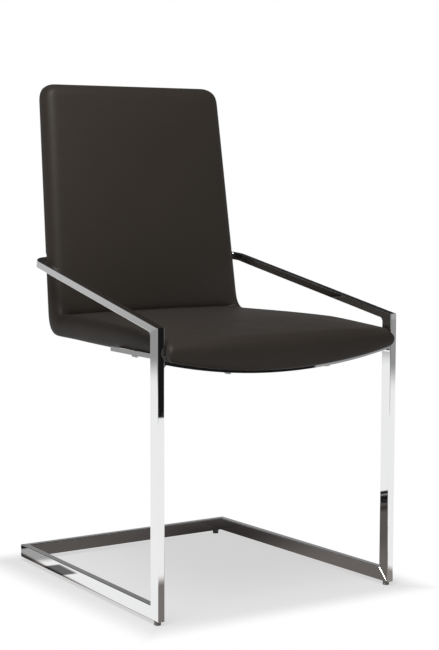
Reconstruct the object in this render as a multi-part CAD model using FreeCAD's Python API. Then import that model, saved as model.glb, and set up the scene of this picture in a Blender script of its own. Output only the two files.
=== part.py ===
import FreeCAD, Part
import math
import os

V = FreeCAD.Vector

# Frame sizes, in millimetres. Depths are measured back from the front of the legs.
frame_width = 520.0
base_depth = 557.0
base_rear_width = 484.0
tube_depth = 25.0
tube_width = 14.0
tube_wall = 1.5
tube_round = 1.2

# Arms and the rail behind the backrest are one bent square tube.
arm_front_height = 516.0
arm_angle = 10.6
arm_section = 14.0
back_rail_width = 480.0
back_rail_depth = 507.0
arm_bend_radius = 36.0
arm_corner_radius = 8.0

# Floor glides.
glide_height = 7.5
glide_diameter = 12.0
glide_stem = 6.0
glide_stem_length = 7.0
rear_glide_inset = 22.0

# Front seat rail and seat brackets. The bow is the drop of the rail at its middle.
rail_end_height = 467.0
rail_bow = 28.5
rail_height = 14.0
rail_corner_radius = 8.0
bracket_length = 160.0
bracket_width = 40.0
bracket_screw_inset = 8.0
bracket_thick = 8.0

# Upholstered shell: one L of seat and back, measured on the outside of its cover.
seat_overhang = 17.0
seat_front_width = 486.0
crease_depth = 450.0
crease_height = 496.0
crease_width = 430.0
seat_crown = 4.0
seat_edge_rise = 6.0
seat_roll_length = 172.0
seat_roll_drop = 14.0
back_height = 947.0
back_top_width = 398.0
back_angle = 8.0
back_thick = 36.0
back_crown = 5.0
back_corner_radius = 28.0
shell_corner_radius = 30.0
shell_side_corner_radius = 40.0
shell_edge_radius = 17.0
cover_thick = 1.2

# Shares of the padding's full thickness that shape its outline.
thinnest_edge = 0.32
nose_depth_share = 0.4
nose_height_share = 0.45
roll_share = 0.42
shoulder_share = 0.85
edge_corner_share = 0.4
flat_bulge = 1.0
seat_swell = 2.0
shell_stations = (0.35, 0.65, 0.84, 0.91, 0.95, 0.975, 0.99, 1.0)

# Boards inside the upholstery.
seat_board_thick = 10.0
seat_board_margin = 10.0
seat_board_corner = 12.0
lining_corner = 8.0
lining_margin = 34.0
lining_front_gap = 20.0
lining_rear_gap = 12.0
back_board_thick = 9.0
back_board_margin = 20.0
back_board_corner = 18.0
back_board_lift = 3.0
back_board_rear_room = 0.6

# Steel straps between the boards.
strap_width = 40.0
strap_thick = 3.0
strap_reach = 62.0
strap_spacing = 240.0
strap_upright_extra = 10.0
strap_seat_screw_depths = (14.0, 38.0)
strap_back_screw_heights = (30.0, 52.0)

# Fasteners.
screw_diameter = 6.0
screw_head_diameter = 12.0
screw_head_height = 3.2
screw_head_round = 1.2
screw_end_room = 1.0
socket_across = 4.0
socket_depth = 2.0
washer_diameter = 13.0
washer_thick = 1.2
tee_nut_diameter = 8.0
tee_flange_diameter = 15.0
tee_flange_thick = 1.2
insert_diameter = 10.0
insert_length = 8.0
insert_setback = 2.5
rail_screw_spacing = 214.0
bracket_screw_depths = (60.0, 150.0)
back_bolt_spacing = 220.0
wood_screw_diameter = 4.0
wood_screw_head = 8.0
wood_screw_head_height = 2.4
wood_screw_length = 8.0

# Clearances.
seat_gap = 0.3
groove_gap = 0.3
hole_gap = 0.3
thread_gap = 0.1

# Places worked out from the sizes above.
leg_front = -(base_depth - seat_overhang) / 2
half_width = frame_width / 2
leg_inside = half_width - tube_width
runner_top = glide_height + tube_depth
arm_slope = math.tan(math.radians(arm_angle))
arm_drop = arm_section / math.cos(math.radians(arm_angle))
back_slope = math.tan(math.radians(back_angle))
bow_radius = (leg_inside ** 2 + rail_bow ** 2) / (2 * rail_bow)
bow_centre = rail_end_height - rail_bow + bow_radius
bow_bottom = rail_end_height - rail_bow
under_radius = bow_radius - seat_gap
board_radius = under_radius - cover_thick
board_top_radius = board_radius - seat_board_thick
rear_rail_front = back_rail_depth - arm_section
far = 2000.0


def box(x0, x1, y0, y1, z0, z1):
    """A box by its limits, with depths measured from the front of the legs."""
    return Part.makeBox(x1 - x0, y1 - y0, z1 - z0, V(x0, y0 + leg_front, z0))


def point(x, y, z):
    return V(x, y + leg_front, z)


def group(shapes):
    return shapes[0].fuse(shapes[1:]) if len(shapes) > 1 else shapes[0]


def keep_side(shape, origin, normal):
    """The part of a shape on the side of a plane that its normal points to."""
    block = Part.makeBox(far, far, far, V(-far / 2, -far / 2, 0))
    turn = FreeCAD.Rotation(V(0, 0, 1), normal)
    block.Placement = FreeCAD.Placement(origin, turn)
    return shape.common(block)


def rounded_face(width, height, radius):
    """A rounded rectangle in the XZ plane, centred on the origin."""
    w, h, r = width / 2, height / 2, radius
    c = r * (1 - math.sqrt(0.5))
    corners = [(w, h, 1, 1), (w, -h, 1, -1), (-w, -h, -1, -1), (-w, h, -1, 1)]
    edges = []
    ends = []
    for i, (x, z, sx, sz) in enumerate(corners):
        a = V(x - sx * r, 0, z)
        b = V(x, 0, z - sz * r)
        first, last = (a, b) if i % 2 == 0 else (b, a)
        middle = V(x - sx * c, 0, z - sz * c)
        edges.append(Part.Arc(first, middle, last).toShape())
        ends.append((first, last))
    for i in range(4):
        start = ends[i][1]
        stop = ends[(i + 1) % 4][0]
        edges.append(Part.makeLine(start, stop))
    wire = Part.Wire(Part.__sortEdges__(edges))
    return Part.Face(wire)


def straight_tube(width, height, length):
    """A hollow tube along +Y from the origin, with rounded edges."""
    outside = rounded_face(width, height, tube_round).extrude(V(0, length, 0))
    bore_width = width - 2 * tube_wall
    bore_height = height - 2 * tube_wall
    bore = rounded_face(bore_width, bore_height, tube_round / 2).extrude(V(0, length, 0))
    return outside.cut(bore)


def place(shape, origin, turn=None):
    """A copy of a shape, turned about the origin and then moved."""
    moved = shape.copy()
    moved.Placement = FreeCAD.Placement(origin, turn or FreeCAD.Rotation())
    return moved


def mirrored(shape):
    return shape.mirror(V(0, 0, 0), V(1, 0, 0))


def bow_cylinder(radius):
    """The round bar whose underside is the bow of the seat, at one radius."""
    base = V(0, -far / 2, bow_centre)
    return Part.makeCylinder(radius, far, base, V(0, 1, 0))


def bow_layer(inner, outer, limits):
    """A bent slab between two radii of the bow, inside a box or an outline."""
    slab = limits.common(bow_cylinder(outer))
    return slab.cut(bow_cylinder(inner))


def bow_height(x):
    """Height of the bow that the seat rests on, at a distance from the middle."""
    return bow_centre - math.sqrt(bow_radius ** 2 - x ** 2)


def on_bow(shape, x, y, radius):
    """Stands a shape on a layer of the bow, its +Z towards the bow's centre.

    The place is given by x where the same square line crosses the rail's top.
    """
    lean = math.asin(x / bow_radius)
    turn = FreeCAD.Rotation(V(0, 1, 0), -math.degrees(lean))
    foot = point(radius * math.sin(lean), y, bow_centre - radius * math.cos(lean))
    return place(shape, foot, turn)


def runner_direction():
    return V(-(frame_width - base_rear_width) / 2, base_depth, 0).normalize()


def rear_mitre():
    """The outer rear corner of the right runner, and the normal of its mitre."""
    corner = point(base_rear_width / 2, base_depth, 0)
    return corner, (V(0, 0, 0) - runner_direction() + V(1, 0, 0)).normalize()


def foot_mitre():
    """The mitre between leg and runner, its normal towards the runner."""
    return point(0, 0, glide_height), V(0, 1, -1).normalize()


def arm_mitre():
    """The mitre between leg and arm, its normal towards the arm."""
    front = point(0, 0, arm_front_height)
    inner = point(0, tube_depth, arm_front_height + arm_slope * tube_depth - arm_drop)
    along = inner - front
    return front, V(0, -along.z, along.y).normalize()


def glide_places():
    """Centres of the four glides on the underside of the frame."""
    front_x = half_width - tube_width / 2
    rear_x = base_rear_width / 2 - rear_glide_inset
    front_y = tube_depth / 2
    rear_y = base_depth - tube_width / 2
    return [(side * x, y) for x, y in ((front_x, front_y), (rear_x, rear_y)) for side in (-1, 1)]


def glide_holes():
    holes = []
    for x, y in glide_places():
        base = point(x, y, glide_height - 1)
        holes.append(Part.makeCylinder(glide_stem / 2 + hole_gap, tube_depth, base))
    wall = box(-far, far, -far, far, glide_height - 1, glide_height + tube_wall + 1)
    return group(holes).common(wall)


def right_runner():
    length = base_depth + 2 * tube_depth
    tube = straight_tube(tube_width, tube_depth, length)
    direction = runner_direction()
    turn = FreeCAD.Rotation(V(0, 1, 0), direction)
    inward = V(-direction.y, direction.x, 0) * (tube_width / 2)
    start = point(half_width, 0, glide_height + tube_depth / 2) + inward
    tube = place(tube, start - direction * tube_depth, turn)
    tube = keep_side(tube, *foot_mitre())
    corner, normal = rear_mitre()
    tube = keep_side(tube, corner, normal)
    return tube.cut(glide_holes())


def rear_floor_bar():
    tube = straight_tube(tube_width, tube_depth, base_rear_width + 2 * tube_depth)
    turn = FreeCAD.Rotation(V(0, 0, 1), -90)
    start = point(-base_rear_width / 2 - tube_depth, base_depth - tube_width / 2,
                  glide_height + tube_depth / 2)
    tube = place(tube, start, turn)
    corner, normal = rear_mitre()
    tube = keep_side(tube, corner, V(0, 0, 0) - normal)
    left_corner = V(-corner.x, corner.y, corner.z)
    left_normal = V(normal.x, -normal.y, normal.z)
    return keep_side(tube, left_corner, left_normal).cut(glide_holes())


def right_front_leg():
    tube = straight_tube(tube_width, tube_depth, arm_front_height + tube_depth)
    turn = FreeCAD.Rotation(V(1, 0, 0), 90)
    start = point(half_width - tube_width / 2, tube_depth / 2, 0)
    tube = place(tube, start, turn)
    foot, foot_normal = foot_mitre()
    tube = keep_side(tube, foot, V(0, 0, 0) - foot_normal)
    top, top_normal = arm_mitre()
    tube = keep_side(tube, top, V(0, 0, 0) - top_normal)
    return tube.fuse(arm_corner_web()).removeSplitter()


def arm_corner_web():
    """The rounded inside corner where the leg turns into the arm."""
    y0 = tube_depth
    z0 = arm_front_height + arm_slope * y0 - arm_drop
    r = arm_corner_radius
    corner = point(0, y0, z0)
    low = point(0, y0, z0 - r)
    high = point(0, y0 + r, z0 + arm_slope * r)
    bisector = (low - corner).normalize() + (high - corner).normalize()
    middle = corner + bisector.normalize() * (r * (math.sqrt(2) - 1))
    edges = [Part.makeLine(corner, low), Part.Arc(low, middle, high).toShape(),
             Part.makeLine(high, corner)]
    face = Part.Face(Part.Wire(edges))
    thick = tube_width - 2 * tube_round
    web = face.extrude(V(thick, 0, 0))
    web.translate(V(leg_inside + tube_round, 0, 0))
    return web


def arm_path():
    """Centre line of the arm loop: left arm, bend, back rail, bend, right arm."""
    half = arm_section / 2
    rise = arm_drop / 2

    def on_slope(x, y):
        return point(x, y, arm_front_height + arm_slope * y - rise)

    run = half_width - back_rail_width / 2
    lead = tube_depth
    taper = run / back_rail_depth
    front_x = half_width - half + taper * lead
    rear_x = back_rail_width / 2 - half
    front = on_slope(front_x, -lead)
    corner = on_slope(rear_x, back_rail_depth - half)
    into = (corner - front).normalize()
    across = V(-1, 0, 0)
    radius = arm_bend_radius - half
    turn = into.getAngle(across)
    reach = radius * math.tan(turn / 2)
    first = corner - into * reach
    second = corner + across * reach
    bisector = (across - into).normalize()
    middle = corner + bisector * (radius / math.cos(turn / 2) - radius)

    def flip(p):
        return V(-p.x, p.y, p.z)

    edges = [Part.makeLine(front, first), Part.Arc(first, middle, second).toShape(),
             Part.makeLine(second, flip(second)),
             Part.Arc(flip(second), flip(middle), flip(first)).toShape(),
             Part.makeLine(flip(first), flip(front))]
    return Part.Wire(edges), front, into


def arm_sweep(section, radius):
    """A square bar along the arm loop."""
    path, front, into = arm_path()
    face = rounded_face(section, section, radius)
    tilt = FreeCAD.Rotation(V(1, 0, 0), arm_angle)
    flat = FreeCAD.Rotation(V(0, 1, 0), tilt.inverted().multVec(into))
    wire = face.OuterWire.copy()
    wire.Placement = FreeCAD.Placement(front, tilt.multiply(flat))
    return path.makePipeShell([wire], True, True)


def arm_loop():
    bar = arm_sweep(arm_section, tube_round)
    bore = arm_sweep(arm_section - 2 * tube_wall, tube_round / 2)
    tube = bar.cut(bore)
    tube = keep_side(tube, *arm_mitre())
    tube = tube.common(box(-far, far, 0, far, 0, far))
    return tube.cut(back_bolt_holes())


def rail_screw_places():
    x = rail_screw_spacing / 2
    return [(-x, tube_depth / 2), (x, tube_depth / 2)]


def bracket_screw_places():
    x = leg_inside - bracket_width + bracket_screw_inset
    return [(side * x, y) for y in bracket_screw_depths for side in (-1, 1)]


def screw_hole(x, y):
    drill = Part.makeCylinder(screw_diameter / 2 + hole_gap, 60, V(0, 0, -30))
    return on_bow(drill, x, y, bow_radius)


def front_seat_rail():
    outer = bow_radius + rail_height
    bar = bow_layer(bow_radius, outer, box(-leg_inside, leg_inside, 0, tube_depth, 0, far))
    bore_limits = box(-leg_inside - 1, leg_inside + 1, tube_wall, tube_depth - tube_wall, 0, far)
    bore = bow_layer(bow_radius + tube_wall, outer - tube_wall, bore_limits)
    bar = bar.cut(bore)
    web = rail_corner_web()
    bar = bar.fuse([web, mirrored(web)]).removeSplitter()
    return bar.cut(group([screw_hole(x, y) for x, y in rail_screw_places()]))


def rail_corner_web():
    """The rounded corner under the rail where it meets the right leg."""
    outer = bow_radius + rail_height
    r = rail_corner_radius
    z = bow_centre - math.sqrt(outer ** 2 - leg_inside ** 2)
    y = leg_front + tube_round
    low = V(leg_inside, y, z - r)
    high = V(leg_inside - r, y, z)
    turn = r * (1 - math.sqrt(0.5))
    middle = V(leg_inside - turn, y, z - turn)
    above = V(leg_inside - r, y, z + r)
    corner = V(leg_inside, y, z + r)
    edges = [Part.Arc(low, middle, high).toShape(), Part.makeLine(high, above),
             Part.makeLine(above, corner), Part.makeLine(corner, low)]
    web = Part.Face(Part.Wire(edges)).extrude(V(0, tube_depth - 2 * tube_round, 0))
    return web.cut(bow_cylinder(outer))


def right_seat_bracket():
    limits = box(leg_inside - bracket_width, leg_inside, tube_depth,
                 tube_depth + bracket_length, 0, far)
    bar = bow_layer(bow_radius, bow_radius + bracket_thick, limits)
    holes = [screw_hole(x, y) for x, y in bracket_screw_places() if x > 0]
    return bar.cut(group(holes))


def floor_glides():
    pads = []
    for x, y in glide_places():
        pad = Part.makeCylinder(glide_diameter / 2, glide_height, point(x, y, 0))
        stem = Part.makeCylinder(glide_stem / 2, glide_stem_length, point(x, y, glide_height))
        pads.append(pad.fuse(stem).removeSplitter())
    return pads


def shell_half_width(y, z):
    """Half the width of the upholstery at a depth and a height."""
    seat_taper = (seat_front_width - crease_width) / 2 / (crease_depth + seat_overhang)
    top_y = crease_depth + back_slope * (back_height - crease_height) + back_thick / 2
    top_half = crease_width / 2 - seat_taper * (top_y - crease_depth)
    back_taper = (top_half - back_top_width / 2) / (back_height - crease_height)
    half = seat_front_width / 2 - seat_taper * (y + seat_overhang)
    return half - back_taper * (z - crease_height)


def back_front(z):
    """Depth of the flat front plane of the back at a height."""
    return crease_depth + back_slope * (z - crease_height)


def back_middle(z):
    return back_front(z) + back_thick / 2


def edge_fill(from_edge):
    """How full the padding is near its side edge, from a rounded edge to 1."""
    if from_edge >= shell_edge_radius:
        return 1.0
    return max(thinnest_edge, math.sqrt(1 - (1 - from_edge / shell_edge_radius) ** 2))


def corner_drop(from_edge):
    """How far the rounded top corner of the back lies below the top edge."""
    part = max(0.0, back_corner_radius - from_edge)
    return back_corner_radius - math.sqrt(back_corner_radius ** 2 - part ** 2)


def seat_levels(across, fill, inset):
    """Heights of the seat's underside and top at a station, as functions of depth."""
    full_top = crease_height + seat_crown * (1 - across ** 2)

    def edge(y):
        return bow_height(across * shell_half_width(y, rail_end_height)) + seat_edge_rise

    def underside(y):
        return edge(y) - (seat_edge_rise + seat_swell) * fill + inset

    def topside(y):
        return edge(y) + (full_top - edge(y)) * fill - inset

    return underside, topside


def seat_outline(at, fill, inset, underside, topside, crease):
    """The front nose, the roll and the seat, from the underside to the crease."""
    tip_y = -seat_overhang + inset
    low = underside(tip_y)
    high = topside(tip_y) - seat_roll_drop * fill
    nose_y = tip_y + (high - low) * nose_depth_share
    nose = at(tip_y, low + (high - low) * nose_height_share)
    roll_y = seat_roll_length - seat_overhang
    roll_z = topside(roll_y)
    rolled = at(roll_y * roll_share, roll_z - seat_roll_drop * roll_share * fill)
    swell_z = (roll_z + crease.z) / 2 + flat_bulge + seat_swell * fill
    swell = at((roll_y + crease.y - leg_front) / 2, swell_z)
    start, lip, rise = at(nose_y, low), at(nose_y, high), at(roll_y, roll_z)
    edges = [Part.Arc(start, nose, lip).toShape(), Part.Arc(lip, rolled, rise).toShape(),
             Part.Arc(rise, swell, crease).toShape()]
    return edges, start


def back_outline(at, across, fill, inset, low, crease):
    """The front, top and rear of the back, down to the underside of the seat."""
    top_z = back_height - corner_drop((1 - across) * back_top_width / 2) - inset
    half_thick = back_thick / 2 * fill - inset
    shoulder_z = top_z - half_thick * shoulder_share
    middle_z = (crease.z + shoulder_z) / 2
    bulge = flat_bulge + back_crown * (1 - across ** 2) * fill
    corner = shell_corner_radius + (shell_side_corner_radius - shell_corner_radius) * across
    corner = corner * (edge_corner_share + (1 - edge_corner_share) * fill) - inset
    rear_y = back_middle(low) + half_thick
    turn = corner * (1 - math.sqrt(0.5))

    swell = at(back_middle(middle_z) - half_thick - bulge, middle_z)
    front_shoulder = at(back_middle(shoulder_z) - half_thick, shoulder_z)
    top = at(back_middle(top_z), top_z)
    rear_shoulder = at(back_middle(shoulder_z) + half_thick, shoulder_z)
    rear_low = at(back_middle(low + corner) + half_thick, low + corner)
    end = at(rear_y - corner, low)
    edges = [Part.Arc(crease, swell, front_shoulder).toShape(),
             Part.Arc(front_shoulder, top, rear_shoulder).toShape(),
             Part.makeLine(rear_shoulder, rear_low),
             Part.Arc(rear_low, at(rear_y - turn, low + turn), end).toShape()]
    return edges, end


def shell_section(station, inset):
    """The L outline of the upholstery at a station from -1 to 1 across its width."""
    across = abs(station)
    fill = edge_fill((1 - across) * crease_width / 2)
    underside, topside = seat_levels(across, fill, inset)

    def at(y, z):
        return point(station * (shell_half_width(y, z) - inset), y, z)

    crease_z = topside(crease_depth) - flat_bulge
    crease = at(back_middle(crease_z) - back_thick / 2 * fill + inset, crease_z)
    seat, start = seat_outline(at, fill, inset, underside, topside, crease)
    back, end = back_outline(at, across, fill, inset, underside(crease_depth), crease)
    return Part.Wire(seat + back + [Part.makeLine(end, start)])


def shell_body(inset):
    """The crowned L of the upholstery, lofted across its width."""
    stations = [-s for s in reversed(shell_stations)] + [0.0] + list(shell_stations)
    sections = [shell_section(s, inset) for s in stations]
    return Part.makeLoft(sections, True, False)


def rail_groove(gap):
    """Room for the back rail in the rear of the padding."""
    bar = arm_sweep(arm_section + 2 * gap, 0.5)
    low = arm_front_height + arm_slope * rear_rail_front - arm_drop - gap
    high = arm_front_height + arm_slope * back_rail_depth + gap
    behind = box(-half_width, half_width, rear_rail_front + arm_section / 2,
                 back_rail_depth + 60, low, high)
    return bar.fuse(behind)


def largest(shape):
    """The main solid of a shape, without the crumbs that its holes leave."""
    return max(shape.Solids, key=lambda solid: solid.Volume)


def mitre_halves(shape):
    """Cuts the L at the crease into its seat and its back."""
    crease = point(0, crease_depth, crease_height)
    along = point(0, back_front(bow_bottom) + back_thick, bow_bottom) - crease
    normal = V(0, along.z, -along.y).normalize()
    seat = keep_side(shape, crease, normal)
    back = keep_side(shape, crease, V(0, 0, 0) - normal)
    return seat, back


def plan_outline(margin, front, rear, corner):
    """A tapered outline of the seat, drawn in from its edge, as a tall prism."""
    front_half = shell_half_width(front, crease_height) - margin
    rear_half = shell_half_width(rear, crease_height) - margin
    corners = [point(-front_half, front, 0), point(front_half, front, 0),
               point(rear_half, rear, 0), point(-rear_half, rear, 0)]
    face = Part.Face(Part.makePolygon(corners + corners[:1]))
    prism = face.extrude(V(0, 0, arm_front_height))
    upright = [e for e in prism.Edges if abs(e.tangentAt(e.FirstParameter).z) > 0.9]
    return prism.makeFillet(corner, upright)


def seat_rear():
    """Depth where the seat board ends, inside the rounded rear corner."""
    rear = back_front(bow_bottom) + back_thick
    radius = shell_corner_radius - cover_thick
    level = radius - 2 * cover_thick
    return rear - shell_corner_radius + math.sqrt(radius ** 2 - level ** 2) - 1.0


def seat_board_front():
    return -seat_overhang + 2 * seat_board_margin


def lining_layer(inner, outer):
    """A layer of the bow inside the lining's outline."""
    front = seat_board_front() + lining_front_gap
    rear = seat_rear() - lining_rear_gap
    return bow_layer(inner, outer, plan_outline(lining_margin, front, rear, lining_corner))


def underside_lining():
    return lining_layer(board_radius, under_radius).cut(seat_screw_holes())


def seat_screw_places():
    return rail_screw_places() + bracket_screw_places()


def seat_screw_holes():
    return group([screw_hole(x, y) for x, y in seat_screw_places()])


def seat_board():
    outline = plan_outline(seat_board_margin, seat_board_front(), seat_rear(), seat_board_corner)
    board = bow_layer(board_top_radius, board_radius, outline)
    drill = Part.makeCylinder(tee_nut_diameter / 2 + hole_gap, 40, V(0, 0, -20))
    holes = [on_bow(drill, x, y, board_radius) for x, y in seat_screw_places()]
    pilots = [strap_seat_screw(x, y, hole_gap) for x, y in strap_seat_places()]
    return board.cut(group(holes + pilots))


def back_plane_place(x, z, offset):
    """A place on the back, offset behind its front plane, with +Y square to it."""
    turn = FreeCAD.Rotation(V(1, 0, 0), -back_angle)
    origin = point(x, back_front(z) + offset / math.cos(math.radians(back_angle)), z)
    return FreeCAD.Placement(origin, turn)


def back_board_offset():
    """How far the back board lies behind the front plane of the back."""
    rail_z = arm_front_height + arm_slope * rear_rail_front
    room = rear_rail_front - groove_gap - cover_thick - back_front(rail_z)
    room = (room - back_board_rear_room) * math.cos(math.radians(back_angle))
    return room - back_board_thick


def back_board():
    height = (back_height - bow_bottom) / math.cos(math.radians(back_angle))
    top = height - back_board_margin
    low_half = shell_half_width(back_front(bow_bottom), bow_bottom) - back_board_margin
    top_half = back_top_width / 2 - back_board_margin
    corners = [V(-low_half, 0, 0), V(low_half, 0, 0), V(top_half, 0, top), V(-top_half, 0, top)]
    face = Part.Face(Part.makePolygon(corners + corners[:1]))
    board = face.extrude(V(0, back_board_thick, 0))
    upper = [e for e in board.Edges
             if e.BoundBox.ZMin > top - 1 and abs(e.tangentAt(e.FirstParameter).y) > 0.9]
    board = board.makeFillet(back_board_corner, upper)
    board.Placement = back_plane_place(0, bow_bottom, back_board_offset())
    board = board.common(bow_cylinder(board_top_radius - back_board_lift))
    drill = Part.makeCylinder(insert_diameter / 2 + hole_gap, 60, V(0, 0, -30))
    holes = [insert_place(drill, x) for x in back_bolt_places()]
    pilots = [strap_back_screw(x, z, hole_gap) for x, z in strap_back_places()]
    return board.cut(group(holes + pilots))


def back_bolt_places():
    return [-back_bolt_spacing / 2, back_bolt_spacing / 2]


def bolt_frame(x, ahead):
    """A place on the back rail's centre line, +Z forward and square to the rail."""
    y = back_rail_depth - arm_section / 2
    z = arm_front_height + arm_slope * y - arm_drop / 2
    forward = V(0, -math.cos(math.radians(arm_angle)), -math.sin(math.radians(arm_angle)))
    turn = FreeCAD.Rotation(V(0, 0, 1), forward)
    return FreeCAD.Placement(point(x, y, z) + forward * ahead, turn)


def insert_place(shape, x):
    moved = shape.copy()
    moved.Placement = bolt_frame(x, arm_section / 2 + insert_start())
    return moved


def insert_start():
    return groove_gap + cover_thick + insert_setback


def back_bolt_holes():
    """Drills through the back rail and on through the cover in front of it."""
    drills = []
    for x in back_bolt_places():
        reach = arm_section / 2 + insert_start()
        drill = Part.makeCylinder(screw_diameter / 2 + hole_gap, reach + arm_section,
                                  V(0, 0, -arm_section))
        drill.Placement = bolt_frame(x, 0)
        drills.append(drill)
    return group(drills)


def back_inserts():
    bodies = []
    for x in back_bolt_places():
        barrel = Part.makeCylinder(insert_diameter / 2, insert_length)
        bore = Part.makeCylinder(screw_diameter / 2 + thread_gap, insert_length)
        bodies.append(insert_place(barrel.cut(bore), x))
    return bodies


def socket_screw(reach):
    """A round-headed screw up +Z, the underside of its head at the origin."""
    shank = Part.makeCylinder(screw_diameter / 2, reach)
    head = Part.makeCylinder(screw_head_diameter / 2, screw_head_height,
                             V(0, 0, -screw_head_height))
    head = head.makeFillet(screw_head_round, [min(head.Edges, key=lambda e: e.BoundBox.ZMax)])
    radius = socket_across / 2 / math.cos(math.pi / 6)
    corners = [V(radius * math.cos(math.pi / 3 * i), radius * math.sin(math.pi / 3 * i),
                 -screw_head_height) for i in range(7)]
    socket = Part.Face(Part.makePolygon(corners)).extrude(V(0, 0, socket_depth))
    return shank.fuse(head).cut(socket)


def back_bolts():
    bodies = []
    reach = washer_thick + arm_section + insert_start() + insert_length - screw_end_room
    for x in back_bolt_places():
        bolt = socket_screw(reach)
        bolt.Placement = bolt_frame(x, -arm_section / 2 - washer_thick)
        bodies.append(bolt)
    return bodies


def back_washers():
    bodies = []
    for x in back_bolt_places():
        ring = Part.makeCylinder(washer_diameter / 2, washer_thick, V(0, 0, -washer_thick))
        ring = ring.cut(Part.makeCylinder(screw_diameter / 2 + hole_gap, 4, V(0, 0, -2)))
        ring.Placement = bolt_frame(x, -arm_section / 2)
        bodies.append(ring)
    return bodies


def seat_screws(below, places):
    """Machine screws up into the tee nuts, from under a rail or bracket."""
    reach = below + seat_gap + cover_thick + seat_board_thick - screw_end_room
    return [on_bow(socket_screw(reach), x, y, bow_radius + below) for x, y in places]


def tee_nuts():
    bodies = []
    length = seat_board_thick
    for x, y in seat_screw_places():
        barrel = Part.makeCylinder(tee_nut_diameter / 2, length)
        flange = Part.makeCylinder(tee_flange_diameter / 2, tee_flange_thick, V(0, 0, length))
        nut = barrel.fuse(flange)
        nut = nut.cut(Part.makeCylinder(screw_diameter / 2 + thread_gap, 2 * length))
        bodies.append(on_bow(nut, x, y, board_radius))
    return bodies


def strap_xs():
    return [-strap_spacing / 2, strap_spacing / 2]


def strap_corner():
    """Depth of the back board's front face where it stands on the seat board."""
    low = bow_bottom + seat_board_thick
    return back_front(low) + back_board_offset() / math.cos(math.radians(back_angle))


def corner_strap(x):
    y = strap_corner()
    limits = box(x - strap_width / 2, x + strap_width / 2, y - strap_reach, y + 0.5, 0, far)
    flat = bow_layer(board_top_radius - strap_thick, board_top_radius, limits)
    upright = Part.makeBox(strap_width, strap_thick, strap_reach + strap_upright_extra,
                           V(-strap_width / 2, -strap_thick, 0))
    upright.Placement = back_plane_place(x, bow_bottom, back_board_offset())
    upright = upright.common(bow_cylinder(board_top_radius))
    strap = flat.fuse(upright).cut(behind_board_front())
    holes = [strap_seat_screw(*p, hole_gap) for p in strap_seat_places()]
    holes += [strap_back_screw(*p, hole_gap) for p in strap_back_places()]
    return strap.cut(group(holes)).removeSplitter()


def behind_board_front():
    """Everything behind the front face of the back board."""
    block = Part.makeBox(far, far, far, V(-far / 2, 0, -far / 2))
    block.Placement = back_plane_place(0, crease_height, back_board_offset())
    return block


def strap_seat_places():
    y = strap_corner() - strap_reach
    return [(x, y + d) for x in strap_xs() for d in strap_seat_screw_depths]


def strap_back_places():
    z = bow_bottom + seat_board_thick
    return [(x, z + d) for x in strap_xs() for d in strap_back_screw_heights]


def wood_screw(gap):
    """A countersunk wood screw down -Z, its head's top at the origin."""
    head_r = wood_screw_head / 2 + gap
    shank_r = wood_screw_diameter / 2 + gap
    head = Part.makeCone(shank_r, head_r, wood_screw_head_height,
                         V(0, 0, -wood_screw_head_height))
    shank = Part.makeCylinder(shank_r, wood_screw_length + gap, V(0, 0, -wood_screw_length - gap))
    if gap:
        head = head.fuse(Part.makeCylinder(head_r, 1.0))
    return head.fuse(shank)


def strap_seat_screw(x, y, gap):
    radius = board_top_radius - strap_thick
    return on_bow(wood_screw(gap), x, y, radius)


def strap_back_screw(x, z, gap):
    screw = wood_screw(gap)
    screw.rotate(V(0, 0, 0), V(1, 0, 0), 90)
    screw.Placement = back_plane_place(x, z, back_board_offset() - strap_thick).multiply(
        screw.Placement)
    return screw


def strap_screws():
    bodies = [strap_seat_screw(x, y, 0) for x, y in strap_seat_places()]
    return bodies + [strap_back_screw(x, z, 0) for x, z in strap_back_places()]


def frame_pieces():
    runner = right_runner()
    leg = right_front_leg()
    bracket = right_seat_bracket()
    return {
        "right_runner": runner,
        "left_runner": mirrored(runner),
        "rear_floor_bar": rear_floor_bar(),
        "right_front_leg": leg,
        "left_front_leg": mirrored(leg),
        "arm_loop": arm_loop(),
        "front_seat_rail": front_seat_rail(),
        "right_seat_bracket": bracket,
        "left_seat_bracket": mirrored(bracket),
        "floor_glides": floor_glides(),
        "back_washers": back_washers(),
        "underside_lining": underside_lining(),
    }


def hidden_pieces():
    """The pieces that reach into the padding, which is hollowed out for them."""
    left_x, right_x = strap_xs()
    return {
        "seat_board": seat_board(),
        "back_board": back_board(),
        "left_corner_strap": corner_strap(left_x),
        "right_corner_strap": corner_strap(right_x),
        "strap_screws": strap_screws(),
        "seat_tee_nuts": tee_nuts(),
        "rail_screws": seat_screws(rail_height, rail_screw_places()),
        "bracket_screws": seat_screws(bracket_thick, bracket_screw_places()),
        "back_inserts": back_inserts(),
        "back_bolts": back_bolts(),
    }


def solids_of(shape):
    return shape if isinstance(shape, list) else [shape]


def upholstery(hidden):
    """Cover and foam of the L, each parted at the crease into seat and back."""
    outer = shell_body(0).common(bow_cylinder(under_radius))
    outer = outer.cut(rail_groove(groove_gap))
    inner = shell_body(cover_thick).common(bow_cylinder(board_radius))
    inner = inner.cut(rail_groove(groove_gap + cover_thick))
    ways = [lining_layer(board_radius - 1, under_radius + 1), seat_screw_holes()]
    skin = outer.cut(inner).cut(group(ways)).cut(back_bolt_holes())
    tools = [solid for shape in hidden.values() for solid in solids_of(shape)]
    foam = inner.cut(group(tools))
    seat_cover, back_cover = mitre_halves(skin)
    seat_foam, back_foam = mitre_halves(foam)
    return {
        "seat_cover": largest(seat_cover),
        "back_cover": largest(back_cover),
        "seat_foam": largest(seat_foam),
        "back_foam": largest(back_foam),
    }


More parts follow.
